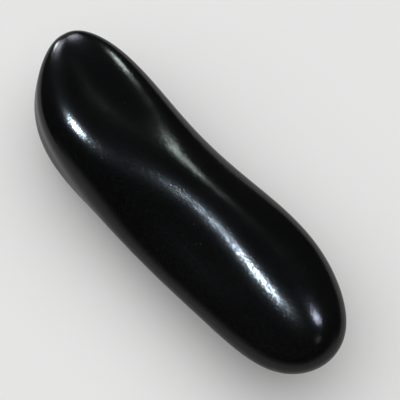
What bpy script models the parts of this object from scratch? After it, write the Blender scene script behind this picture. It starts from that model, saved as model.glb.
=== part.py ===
"""Basalt massage stone: one solid, water-worn and polished stone that lies on its underside.

+X runs from the narrow head to the round tail, +Z is up, and the stone rests on a small worn flat.
Its surface is a row of rings along X. Each ring is an oval whose upper side is pushed in and out a
little, which makes the two soft ridges and the flattened top of the head.
"""
from collections import namedtuple

import bmesh
import bpy
import numpy as np

MM = 0.001

# Driving dimensions, in millimetres
LENGTH = 115.0          # head tip to tail tip
REST_DEPTH = 1.6        # how much of the underside the worn rest flat takes off
REST_BLEND = 0.4        # half the height over which the flat turns into the curved underside

# Seven stations, evenly spaced from head tip to tail tip, in millimetres. Each gives the radii that
# the rounding of the ends is applied to, so the two tip stations set how blunt the ends are.
# half_width: to each side. shift: centre line, towards +Y. crest and keel: height above and depth
# below the centre line. lift: height of the centre line.
Station = namedtuple("Station", "half_width shift crest keel lift")
HEAD_TIP = Station(half_width=21.4, shift=7.4, crest=11.7, keel=15.5, lift=16.1)
HEAD = Station(half_width=22.0, shift=0.3, crest=11.5, keel=17.0, lift=12.8)
NECK = Station(half_width=18.4, shift=-1.3, crest=10.8, keel=15.2, lift=10.9)
WAIST = Station(half_width=16.9, shift=-0.7, crest=9.9, keel=14.0, lift=10.0)
FLANK = Station(half_width=18.0, shift=-0.2, crest=9.2, keel=14.6, lift=10.8)
BELLY = Station(half_width=20.6, shift=-1.6, crest=9.8, keel=16.2, lift=12.9)
TAIL_TIP = Station(half_width=25.8, shift=-3.9, crest=14.7, keel=18.5, lift=15.9)
STATIONS = (HEAD_TIP, HEAD, NECK, WAIST, FLANK, BELLY, TAIL_TIP)

# A section for each station: how far the top of its ring leaves the oval, as shares of its radius. All
# of it fades out towards the underside and towards the two tips.
# lean: along the diagonals. three_side and three_up: a rounded triangle with a corner towards +Y or
# down. four_side and four_up: a rounded square, standing on a corner or turned by an eighth.
Section = namedtuple("Section", "lean three_side three_up four_side four_up")
TIP_SECTION = Section(lean=0.035, three_side=0.21, three_up=0.005, four_side=-0.125, four_up=0.16)
HEAD_SECTION = Section(lean=0.005, three_side=0.145, three_up=0.01, four_side=-0.07, four_up=0.015)
NECK_SECTION = Section(lean=-0.045, three_side=0.085, three_up=0.04, four_side=-0.015, four_up=-0.015)
WAIST_SECTION = Section(lean=-0.04, three_side=-0.02, three_up=0.05, four_side=0.065, four_up=-0.015)
FLANK_SECTION = Section(lean=0.005, three_side=-0.015, three_up=0.04, four_side=0.095, four_up=-0.02)
BELLY_SECTION = Section(lean=0.06, three_side=0.015, three_up=0.01, four_side=0.075, four_up=-0.01)
TAIL_SECTION = Section(lean=0.105, three_side=-0.005, three_up=-0.065, four_side=0.05, four_up=0.0)
SECTIONS = (
    TIP_SECTION, HEAD_SECTION, NECK_SECTION, WAIST_SECTION, FLANK_SECTION, BELLY_SECTION, TAIL_SECTION,
)

# Mesh fineness
RINGS = 48              # between the two tips
RING_POINTS = 44

# Polished black basalt
STONE_COLOR = (0.012, 0.012, 0.013, 1.0)
STONE_ROUGHNESS = 0.25


def smooth_curve(rows, field):
    """The smooth curve over -1 (head tip) to 1 (tail tip) through one field of evenly spaced rows."""
    values = [getattr(row, field) for row in rows]
    places = np.linspace(-1.0, 1.0, len(values))
    return np.polynomial.Polynomial.fit(places, values, len(values) - 1)


def ring_radius(turn, angle):
    """Radius of the ring at each turn from the head tip, at each angle from +Y, as a share of its oval."""
    place = -np.cos(turn)
    waves = {
        "lean": np.sin(2 * angle),
        "three_side": np.cos(3 * angle),
        "three_up": np.sin(3 * angle),
        "four_side": np.cos(4 * angle),
        "four_up": np.sin(4 * angle),
    }
    carving = sum(smooth_curve(SECTIONS, field)(place) * wave for field, wave in waves.items())
    upper_side = (1.0 + np.sin(angle)) / 2
    rounding = np.sin(turn)
    return rounding * (1.0 + rounding * upper_side * carving)


def curved_stone():
    """Ring points in millimetres, one row per ring, before the rest flat is worn in."""
    turn = np.linspace(0.0, np.pi, RINGS + 2)[1:-1, None]
    angle = np.linspace(0.0, 2 * np.pi, RING_POINTS, endpoint=False)[None, :]
    place = -np.cos(turn)
    size = {field: smooth_curve(STATIONS, field)(place) for field in Station._fields}
    radius = ring_radius(turn, angle)
    upright = (size["crest"] + size["keel"]) / 2 * np.sin(angle)
    upright += (size["crest"] - size["keel"]) / 2 * np.sin(angle) ** 2
    x = LENGTH / 2 * place + 0.0 * angle
    y = size["shift"] + radius * size["half_width"] * np.cos(angle)
    z = size["lift"] + radius * upright
    return np.stack([x, y, z], axis=-1)


def tip_points():
    """The two points that close the stone, head first, in millimetres."""
    head = (-LENGTH / 2, HEAD_TIP.shift, HEAD_TIP.lift)
    tail = (LENGTH / 2, TAIL_TIP.shift, TAIL_TIP.lift)
    return np.array([head, tail])


def wear_flat(height):
    """Height above the rest flat: zero on the flat, and blended into the curve around it."""
    blend = np.clip(height + REST_BLEND, 0.0, 2 * REST_BLEND) ** 2 / (4 * REST_BLEND)
    return np.where(height > REST_BLEND, height, blend)


def settled(points, rings):
    """The points with the rest flat worn in at z = 0, and the stone's width centred on y = 0."""
    flat = rings[..., 2].min() + REST_DEPTH
    middle = (rings[..., 1].min() + rings[..., 1].max()) / 2
    x, y, z = np.moveaxis(points, -1, 0)
    return np.stack([x, y - middle, wear_flat(z - flat)], axis=-1)


def add_ring(mesh, points):
    """One closed ring: its vertices and the edges between them."""
    verts = [mesh.verts.new(point * MM) for point in points]
    edges = [mesh.edges.new(pair) for pair in zip(verts, verts[1:] + verts[:1])]
    return verts, edges


def close_tip(mesh, tip, ring):
    """Join one tip vertex to every edge of the ring next to it."""
    for a, b in zip(ring, ring[1:] + ring[:1]):
        mesh.faces.new((tip, a, b))


def stone_material():
    """Polished black basalt."""
    material = bpy.data.materials.new("polished_basalt")
    material.use_nodes = True
    shader = material.node_tree.nodes["Principled BSDF"]
    shader.inputs["Base Color"].default_value = STONE_COLOR
    shader.inputs["Roughness"].default_value = STONE_ROUGHNESS
    return material


def build_stone():
    """The stone as one closed object with outward faces."""
    raw = curved_stone()
    mesh = bmesh.new()
    rings = [add_ring(mesh, points) for points in settled(raw, raw)]
    head_tip, tail_tip = [mesh.verts.new(point * MM) for point in settled(tip_points(), raw)]
    for near, far in zip(rings, rings[1:]):
        bmesh.ops.bridge_loops(mesh, edges=near[1] + far[1])
    close_tip(mesh, head_tip, rings[0][0])
    close_tip(mesh, tail_tip, rings[-1][0])
    bmesh.ops.recalc_face_normals(mesh, faces=mesh.faces)
    data = bpy.data.meshes.new("massage_stone")
    mesh.to_mesh(data)
    mesh.free()
    data.shade_smooth()
    data.materials.append(stone_material())
    bpy.context.scene.collection.objects.link(bpy.data.objects.new("massage_stone", data))


for leftover in list(bpy.data.objects):
    bpy.data.objects.remove(leftover, do_unlink=True)
build_stone()
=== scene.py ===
"""A polished basalt massage stone, lying on a pale floor under soft studio light."""
import math
from collections import namedtuple

import bpy
import numpy as np
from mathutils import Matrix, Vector


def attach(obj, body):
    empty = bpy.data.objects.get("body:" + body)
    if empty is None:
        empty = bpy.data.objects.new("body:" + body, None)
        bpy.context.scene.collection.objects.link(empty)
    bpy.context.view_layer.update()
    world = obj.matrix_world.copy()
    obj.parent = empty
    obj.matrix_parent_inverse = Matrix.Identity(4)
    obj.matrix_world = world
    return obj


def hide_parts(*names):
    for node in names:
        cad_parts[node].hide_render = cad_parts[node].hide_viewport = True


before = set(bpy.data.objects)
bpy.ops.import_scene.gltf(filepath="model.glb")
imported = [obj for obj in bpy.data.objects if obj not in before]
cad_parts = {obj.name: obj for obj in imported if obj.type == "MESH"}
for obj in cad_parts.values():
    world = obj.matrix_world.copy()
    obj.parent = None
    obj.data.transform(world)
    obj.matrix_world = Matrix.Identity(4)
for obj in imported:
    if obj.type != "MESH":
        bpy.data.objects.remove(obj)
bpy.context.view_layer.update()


# Camera
# A long lens close above the stone's near side, a little towards the tail, so that the head points
# up and to the left and the whole top can be seen with its two ridges.
CAMERA_PLACE = Vector((0.1402, -0.1126, 0.2927))
CAMERA_AIM = Vector((0.0041, 0.0035, 0.0154))
CAMERA_LENS = 119.9     # millimetres
camera_data = bpy.data.cameras.new("camera")
camera_data.lens = CAMERA_LENS
camera_data.clip_start = 0.01
camera = bpy.data.objects.new("camera", camera_data)
camera.location = CAMERA_PLACE
camera.rotation_euler = (CAMERA_AIM - CAMERA_PLACE).to_track_quat("-Z", "Y").to_euler()
bpy.context.scene.collection.objects.link(camera)
bpy.context.scene.camera = camera


# Massage stone
# One piece of dense black basalt, water-worn to a long, bent pebble, then ground and polished by
# hand. The head is flattened on top between two soft ridges, the tail is full and round, and the
# underside is worn to a small flat that the stone lies on.
MM = 0.001
LENGTH = 115.0          # millimetres, head tip to tail tip
REST_DEPTH = 1.6        # millimetres that the rest flat takes off the underside
REST_BLEND = 0.4        # half the height over which the flat turns into the curve

# Seven stations, evenly spaced from head tip to tail tip, in millimetres. half_width: to each side.
# shift: centre line, towards +Y. crest and keel: above and below it. lift: height of the centre line.
# Only the keel depths were chosen. The other values here, and all the sections below, were
# worked out by a fit and then rounded.
Station = namedtuple("Station", "half_width shift crest keel lift")
STATIONS = (
    Station(half_width=21.4, shift=7.4, crest=11.7, keel=15.5, lift=16.1),    # head tip
    Station(half_width=22.0, shift=0.3, crest=11.5, keel=17.0, lift=12.8),    # head
    Station(half_width=18.4, shift=-1.3, crest=10.8, keel=15.2, lift=10.9),   # neck
    Station(half_width=16.9, shift=-0.7, crest=9.9, keel=14.0, lift=10.0),    # waist
    Station(half_width=18.0, shift=-0.2, crest=9.2, keel=14.6, lift=10.8),    # flank
    Station(half_width=20.6, shift=-1.6, crest=9.8, keel=16.2, lift=12.9),    # belly
    Station(half_width=25.8, shift=-3.9, crest=14.7, keel=18.5, lift=15.9),   # tail tip
)

# A section for each station: how far the top of its ring leaves the oval, as shares of its radius.
# lean: along the diagonals. three_side and three_up: a rounded triangle with a corner towards +Y or
# down. four_side and four_up: a rounded square, standing on a corner or turned by an eighth.
Section = namedtuple("Section", "lean three_side three_up four_side four_up")
SECTIONS = (
    Section(lean=0.035, three_side=0.21, three_up=0.005, four_side=-0.125, four_up=0.16),
    Section(lean=0.005, three_side=0.145, three_up=0.01, four_side=-0.07, four_up=0.015),
    Section(lean=-0.045, three_side=0.085, three_up=0.04, four_side=-0.015, four_up=-0.015),
    Section(lean=-0.04, three_side=-0.02, three_up=0.05, four_side=0.065, four_up=-0.015),
    Section(lean=0.005, three_side=-0.015, three_up=0.04, four_side=0.095, four_up=-0.02),
    Section(lean=0.06, three_side=0.015, three_up=0.01, four_side=0.075, four_up=-0.01),
    Section(lean=0.105, three_side=-0.005, three_up=-0.065, four_side=0.05, four_up=0.0),
)

RINGS = 400             # between the two tips
RING_POINTS = 240
GRINDING_HEIGHT = 0.0002    # of each wave that grinding left, as a share of its length
PORES = 46
PORE_DEPTH = 0.12       # as a share of the pore's radius
RELIEF_FADE = 2.0       # millimetres above the rest flat over which the fine relief begins

CRYSTALS = 7000.0       # in a row of one metre, so each is about a seventh of a millimetre wide
BLACK = (0.0009, 0.0010, 0.0010, 1.0)
WARM_BLACK = (0.0020, 0.0020, 0.0019, 1.0)
CRYSTAL_GREY = (0.0058, 0.0060, 0.0062, 1.0)
FLECK_GREY = (0.018, 0.019, 0.020, 1.0)
SCUFFED_GREY = (0.045, 0.045, 0.046, 1.0)


def smooth_curve(rows, field, place):
    """The polynomial through one field of evenly spaced rows, read at places from -1 to 1."""
    values = [getattr(row, field) for row in rows]
    places = np.linspace(-1.0, 1.0, len(values))
    return np.polynomial.Polynomial.fit(places, values, len(values) - 1)(place)


def stone_surface(turn, angle):
    """Points of the stone over turn (0 at the head tip, pi at the tail tip) and angle round it.

    x runs as -cos(turn), so the ends are round where rings shrink as sin(turn). Each ring is an
    oval with a crest height above and a keel depth below its centre, times 1 plus five waves round
    the ring, which fade out as (1 + sin(angle)) / 2 towards the underside and as sin(turn) towards
    the tips.
    """
    place = -np.cos(turn)
    waves = {
        "lean": np.sin(2 * angle),
        "three_side": np.cos(3 * angle),
        "three_up": np.sin(3 * angle),
        "four_side": np.cos(4 * angle),
        "four_up": np.sin(4 * angle),
    }
    carving = sum(smooth_curve(SECTIONS, field, place) * wave for field, wave in waves.items())
    rounding = np.sin(turn)
    radius = rounding * (1.0 + rounding * carving * (1.0 + np.sin(angle)) / 2)
    size = Station(*(smooth_curve(STATIONS, field, place) for field in Station._fields))
    upright = (size.crest + size.keel) / 2 * np.sin(angle)
    upright += (size.crest - size.keel) / 2 * np.sin(angle) ** 2
    x = LENGTH / 2 * place + 0.0 * angle
    y = size.shift + radius * size.half_width * np.cos(angle)
    return np.stack([x, y, size.lift + radius * upright], axis=-1)


def wear_flat(height):
    """Height above the rest flat: nought on it, a parabola over the blend, then unchanged."""
    blend = np.clip(height + REST_BLEND, 0.0, 2 * REST_BLEND) ** 2 / (4 * REST_BLEND)
    return np.where(height > REST_BLEND, height, blend)


def outward(points):
    """Unit normals of a ring grid: the cross product of its steps round and along."""
    along = np.gradient(points, axis=0)
    around = (np.roll(points, -1, axis=1) - np.roll(points, 1, axis=1)) / 2
    normal = np.cross(around, along)
    return normal / np.maximum(np.linalg.norm(normal, axis=-1, keepdims=True), 1e-9)


def hand_ground(points, rng):
    """Height of the faint waviness that grinding by hand leaves, in millimetres.

    A sum of 14 sine waves in random directions, 5 to 14 mm long, the shorter ones lower.
    """
    height = np.zeros(points.shape[:-1])
    for wavelength in np.geomspace(14.0, 5.0, 14):
        direction = rng.normal(size=3)
        direction /= np.linalg.norm(direction)
        phase = rng.uniform(0.0, 2 * np.pi)
        turns = points @ direction / wavelength
        height += GRINDING_HEIGHT * wavelength * np.sin(2 * np.pi * turns + phase)
    return height


def open_pores(points, rng):
    """Depth of the pores that the polish left open, in millimetres.

    Each pore is a round dimple, PORE_DEPTH * radius * exp(-(distance / radius)^2), 1 to 2 mm across,
    centred on a random point of the flanks and the underside.
    """
    depth = np.zeros(points.shape[:-1])
    rings, ring_points = depth.shape
    for _ in range(PORES):
        ring = rng.integers(rings // 12, rings - rings // 12)
        point = int(ring_points * rng.uniform(0.52, 0.98))
        radius = rng.uniform(0.45, 0.9)
        distance = np.linalg.norm(points - points[ring, point], axis=-1)
        depth += PORE_DEPTH * radius * np.exp(-((distance / radius) ** 2))
    return depth


def build_stone():
    """The stone as one closed mesh: a grid of rings with a tip vertex at each end."""
    turn = np.linspace(0.0, np.pi, RINGS + 2)[:, None]
    angle = np.linspace(0.0, 2 * np.pi, RING_POINTS, endpoint=False)[None, :]
    points = stone_surface(turn, angle)
    flat = points[..., 2].min() + REST_DEPTH
    middle = (points[..., 1].min() + points[..., 1].max()) / 2
    points[..., 1] -= middle
    points[..., 2] = wear_flat(points[..., 2] - flat)
    rng = np.random.default_rng(7)
    clear_of_flat = np.clip(points[..., 2] / RELIEF_FADE, 0.0, 1.0)
    relief = (hand_ground(points, rng) - open_pores(points, rng)) * clear_of_flat
    points += relief[..., None] * outward(points)

    rings = points[1:-1].reshape(-1, 3)
    verts = np.concatenate([rings, points[0, :1], points[-1, :1]]) * MM
    index = np.arange(RINGS * RING_POINTS).reshape(RINGS, RING_POINTS)
    after = np.roll(index, -1, axis=1)
    quads = np.stack([index[:-1], after[:-1], after[1:], index[1:]], axis=-1).reshape(-1, 4)
    head, tail = len(rings), len(rings) + 1
    head_fan = np.stack([np.full(RING_POINTS, head), after[0], index[0]], axis=-1)
    tail_fan = np.stack([np.full(RING_POINTS, tail), index[-1], after[-1]], axis=-1)
    mesh = bpy.data.meshes.new("massage_stone_polished")
    mesh.from_pydata(verts.tolist(), [], quads.tolist() + head_fan.tolist() + tail_fan.tolist())
    mesh.shade_smooth()
    stone = bpy.data.objects.new("massage_stone_polished", mesh)
    bpy.context.scene.collection.objects.link(stone)
    return stone


class Signal:
    """A socket in a material or in the studio's walls. Arithmetic on signals adds Math nodes."""

    def __init__(self, tree, socket=None):
        self.tree = tree
        self.socket = socket

    def node(self, kind, settings, inputs, output=0):
        """A new node with its settings, then the values or links of its inputs."""
        made = self.tree.nodes.new(kind)
        for name, value in settings.items():
            setattr(made, name, value)
        for name, value in inputs.items():
            if isinstance(value, Signal):
                self.tree.links.new(value.socket, made.inputs[name])
            else:
                made.inputs[name].default_value = value
        return Signal(self.tree, made.outputs[output] if made.outputs else None)

    def math(self, operation, first, second):
        """A Math node on two signals or numbers."""
        return self.node("ShaderNodeMath", {"operation": operation}, {0: first, 1: second})

    def __add__(self, other):
        return self.math("ADD", self, other)

    __radd__ = __add__

    def __sub__(self, other):
        return self.math("SUBTRACT", self, other)

    def __rsub__(self, other):
        return self.math("SUBTRACT", other, self)

    def __mul__(self, other):
        return self.math("MULTIPLY", self, other)

    __rmul__ = __mul__

    def size(self):
        """The value without its sign."""
        return self.math("ABSOLUTE", self, 0.0)

    def rises(self, low, high):
        """0 below low, 1 above high, smooth between."""
        ends = {"Value": self, "From Min": low, "From Max": high}
        return self.node("ShaderNodeMapRange", {"interpolation_type": "SMOOTHSTEP"}, ends)

    def noise(self, scale, detail):
        """Soft noise over this position, from 0 to 1."""
        settings = {"Vector": self, "Scale": scale, "Detail": detail}
        return self.node("ShaderNodeTexNoise", {}, settings)

    def axis(self, name):
        """One coordinate of this position."""
        return self.node("ShaderNodeSeparateXYZ", {}, {"Vector": self}, output=name)

    def vector(self, operation, other):
        """Vector Math with another vector."""
        return self.node("ShaderNodeVectorMath", {"operation": operation}, {0: self, 1: other})

    def scaled(self, amount):
        """This vector times a number that may vary."""
        return self.node("ShaderNodeVectorMath", {"operation": "SCALE"}, {0: self, "Scale": amount})

    def blend(self, first, second):
        """First colour where this mask is 0, second where it is 1."""
        colors = {"Factor": self, 6: first, 7: second}
        return self.node("ShaderNodeMix", {"data_type": "RGBA"}, colors, output=2)


def emptied(owner):
    """A signal to start from in the cleared nodes of a material or of the studio's walls."""
    owner.use_nodes = True
    owner.node_tree.nodes.clear()
    return Signal(owner.node_tree)


def crystals(place):
    """Random colour and random number of each crystal, which is a Voronoi cell."""
    cell = {"Vector": place, "Scale": CRYSTALS}
    tint = place.node("ShaderNodeTexVoronoi", {}, cell, output="Color")
    seat = place.node("ShaderNodeTexVoronoi", {}, cell, output="Position")
    return tint, place.node("ShaderNodeTexWhiteNoise", {}, {"Vector": seat}, output="Value")


def leaning(relief, tint, chance):
    """Normal of a polished face whose crystals each lean a little their own way.

    The lean is the crystal's random colour, centred on nought. Nearly one crystal in five leans
    half as far again, so that the edge of a highlight breaks up into sparkle.
    """
    amount = 0.052 + 0.030 * chance.rises(0.72, 0.90)
    lean = tint.vector("SUBTRACT", (0.5, 0.5, 0.5)).scaled(amount)
    return relief.vector("ADD", lean).vector("NORMALIZE", (0.0, 0.0, 0.0))


def pale_flecks(place, scale, radius, share):
    """Mask of round flecks: one in the middle of a random share of Voronoi cells."""
    cell = {"Vector": place, "Scale": scale}
    distance = place.node("ShaderNodeTexVoronoi", {}, cell, output="Distance")
    seat = place.node("ShaderNodeTexVoronoi", {}, cell, output="Position")
    chance = place.node("ShaderNodeTexWhiteNoise", {}, {"Vector": seat}, output="Value")
    near = 1.0 - distance.rises(radius * scale * 0.5, radius * scale)
    return near * chance.rises(1.0 - share, 1.02 - share)


def polished_basalt():
    """Dense black basalt, polished, with slightly paler crystals and flecks.

    The polish is a little softer at the two ends, and the rest flat is grey and scuffed.
    """
    material = bpy.data.materials.new("polished_basalt")
    start = emptied(material)
    place = start.node("ShaderNodeTexCoord", {}, {}, output="Object")

    # The ends begin 36 mm from the middle. The scuffs reach about a millimetre up from the flat.
    tint, chance = crystals(place)
    ends = place.axis("X").size().rises(0.036, 0.052)
    scuffed = 1.0 - (place.axis("Z") + place.noise(400.0, 4.0) * 0.0012).rises(0.0007, 0.0016)
    flecks = pale_flecks(place, scale=420.0, radius=0.00014, share=0.55)

    film = place.noise(55.0, 5.0)
    rough = 0.105 + film * 0.06 + ends * 0.035 + flecks * 0.2 + scuffed * 0.35

    shade = place.noise(35.0, 6.0).rises(0.35, 0.70)
    color = shade.blend(BLACK, WARM_BLACK)
    color = chance.rises(0.60, 0.95).blend(color, CRYSTAL_GREY)
    color = flecks.blend(color, FLECK_GREY)
    color = scuffed.blend(color, SCUFFED_GREY)

    # Polishing marks run along the stone, flecks lie a little low, and the scuffed flat is rough.
    marks = place.vector("MULTIPLY", (90.0, 2600.0, 2600.0)).noise(1.0, 3.0)
    dents = 0.5 * marks - flecks + scuffed * place.noise(2600.0, 3.0) * 4.0
    relief = start.node("ShaderNodeBump", {}, {"Height": dents, "Distance": 0.000004, "Strength": 1.0})
    normal = leaning(relief, tint, chance)
    shader = start.node("ShaderNodeBsdfPrincipled", {}, {
        "Base Color": color, "Roughness": rough, "Normal": normal, "IOR": 1.5})
    start.node("ShaderNodeOutputMaterial", {}, {"Surface": shader})
    return material


stone = build_stone()
stone.data.materials.append(polished_basalt())
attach(stone, "root")
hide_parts("massage_stone")


# Floor and studio light
# A wide, matt, pale floor under a soft overhead light. The six lamps are only seen as reflections in
# the stone, one small bright spot for each streak of light. The floor is mirrored at half the
# brightness that it is seen with, so that the stone keeps its dark sides.
FLOOR_REACH = 20.0
FLOOR_DROP = 0.00002    # just below the rest flat
PAINT = (0.86, 0.865, 0.855, 1.0)
MIRRORED_PAINT = (0.43, 0.43, 0.425, 1.0)
square = ((-1, -1), (1, -1), (1, 1), (-1, 1))
corners = [(x * FLOOR_REACH, y * FLOOR_REACH, -FLOOR_DROP) for x, y in square]
floor_mesh = bpy.data.meshes.new("floor")
floor_mesh.from_pydata(corners, [], [(0, 1, 2, 3)])
floor = bpy.data.objects.new("floor", floor_mesh)
bpy.context.scene.collection.objects.link(floor)


def pale_floor():
    """Even matt paint, a pale neutral grey. In the stone's reflections it is painted at half brightness,
    as painted shade.
    """
    material = bpy.data.materials.new("pale_floor")
    start = emptied(material)
    # Painted shade: glossy rays see the floor colour at half brightness, so the stone's mirrored floor
    # is darker than the floor seen directly.
    mirrored = start.node("ShaderNodeLightPath", {}, {}, output="Is Glossy Ray")
    paint = mirrored.blend(PAINT, MIRRORED_PAINT)
    shader = start.node("ShaderNodeBsdfPrincipled", {}, {
        "Base Color": paint, "Roughness": 0.9, "Specular IOR Level": 0.0})
    start.node("ShaderNodeOutputMaterial", {}, {"Surface": shader})
    return material


floor_mesh.materials.append(pale_floor())


LAMP_DISTANCE = 0.9


def add_lamp(name, azimuth, elevation, size, watts, color):
    """A round lamp aimed at the stone from a direction in degrees, that lights nothing matt."""
    across, up = np.radians(azimuth), np.radians(elevation)
    toward = Vector((np.cos(up) * np.cos(across), np.cos(up) * np.sin(across), np.sin(up)))
    data = bpy.data.lights.new(name, "AREA")
    data.shape = "DISK"
    data.size = size
    data.energy = watts
    data.color = color
    lamp = bpy.data.objects.new(name, data)
    lamp.location = CAMERA_AIM + toward * LAMP_DISTANCE
    lamp.rotation_euler = (-toward).to_track_quat("-Z", "Y").to_euler()
    lamp.visible_diffuse = False
    bpy.context.scene.collection.objects.link(lamp)


overhead = bpy.data.lights.new("overhead_light", "SUN")
overhead.energy = 2.85
overhead.angle = 2.3
overhead_light = bpy.data.objects.new("overhead_light", overhead)
overhead_light.rotation_euler = (math.radians(15.0), 0.0, math.radians(290.0))
overhead_light.visible_glossy = False
bpy.context.scene.collection.objects.link(overhead_light)
add_lamp("crest_lamp", azimuth=166.9, elevation=60.5, size=0.07, watts=3.8, color=(0.70, 0.85, 1.0))
add_lamp("far_lamp", azimuth=125.8, elevation=29.0, size=0.10, watts=0.44, color=(0.85, 1.0, 0.95))
add_lamp("tail_lamp", azimuth=100.7, elevation=58.2, size=0.13, watts=1.3, color=(0.72, 0.78, 1.0))
add_lamp("low_lamp", azimuth=161.3, elevation=14.9, size=0.10, watts=0.74, color=(0.95, 0.97, 1.0))
add_lamp("head_lamp", azimuth=153.7, elevation=22.4, size=0.16, watts=0.45, color=(0.80, 0.84, 1.0))
add_lamp("side_lamp", azimuth=35.0, elevation=69.0, size=0.18, watts=0.08, color=(0.80, 0.78, 1.0))


WALLS_SEEN = 0.79       # as bright as the far floor, so that no horizon shows
WALLS_MIRRORED = 0.02
BAND_MIRRORED = 0.33


def studio_walls():
    """Walls that look as pale as the floor but are mirrored dark.

    A soft grey band low on the tail's side lets the floor's reflection fade out.
    """
    world = bpy.data.worlds.new("studio")
    start = emptied(world)
    toward = start.node("ShaderNodeTexCoord", {}, {}, output="Generated")
    tailward = 0.8 * toward.axis("X") - 0.6 * toward.axis("Y")
    band = (1.0 - toward.axis("Z").rises(0.0, 0.6)) * tailward.rises(-0.2, 0.3)
    mirrored = WALLS_MIRRORED + band * BAND_MIRRORED
    seen = start.node("ShaderNodeLightPath", {}, {}, output="Is Camera Ray")
    strength = mirrored + seen * (WALLS_SEEN - mirrored)
    walls = start.node("ShaderNodeBackground", {}, {"Color": (1.0, 1.0, 1.0, 1.0), "Strength": strength})
    start.node("ShaderNodeOutputWorld", {}, {"Surface": walls})
    return world


bpy.context.scene.world = studio_walls()
bpy.context.scene.view_settings.view_transform = "Standard"
